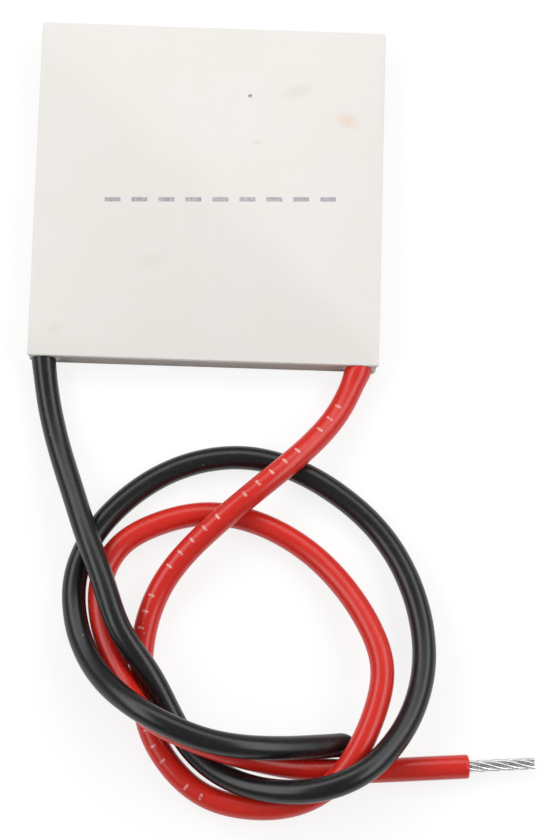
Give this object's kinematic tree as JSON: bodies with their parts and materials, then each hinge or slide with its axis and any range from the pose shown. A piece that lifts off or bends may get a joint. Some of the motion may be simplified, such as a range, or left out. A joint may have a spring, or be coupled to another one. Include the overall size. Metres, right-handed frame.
{
  "type": "thermoelectric cooling module",
  "caption": "Square flat module that pumps heat between two ceramic plates, with semiconductor legs on copper tabs inside and black and red silicone leads at one edge.",
  "frame": {"origin": "centre of the hot side face, the underside, which lies on the mounting surface", "axes": "+Z out of the cold side face, -Y towards the edge that the leads leave from, +X towards the red lead's side"},
  "size_m": [0.0586, 0.0916, 0.01],
  "materials": {
    "alumina": "unglazed alumina, ground flat, matt warm white",
    "copper": "rolled copper, bonded to the ceramic",
    "solder": "bismuth tin solder, dull",
    "n_type_semiconductor": "diced bismuth telluride, dull metallic grey",
    "p_type_semiconductor": "diced bismuth antimony telluride, dull metallic grey",
    "seal_silicone": "bead of sealing silicone, satin",
    "exit_silicone": "dab of white sealing silicone, satin",
    "tinned_copper": "tinned copper strands, bright",
    "black_silicone": "extruded silicone insulation, satin black",
    "red_silicone": "extruded silicone insulation, satin red"
  },
  "bodies": {
    "root": {"hot_side_ceramic": "alumina", "hot_side_tabs": "copper", "black_lead_pad": "copper", "red_lead_pad": "copper", "hot_side_solder": "solder", "n_type_legs": "n_type_semiconductor", "p_type_legs": "p_type_semiconductor", "cold_side_solder": "solder", "cold_side_tabs": "copper", "cold_side_ceramic": "alumina", "perimeter_seal": "seal_silicone", "black_exit_seal": "exit_silicone", "red_exit_seal": "exit_silicone", "black_lead_core": "tinned_copper", "red_lead_core": "tinned_copper", "black_core_solder": "solder", "red_core_solder": "solder", "black_lead": "black_silicone", "red_lead": "red_silicone", "red_bare_strands": "tinned_copper"}
  },
  "joints": []
}
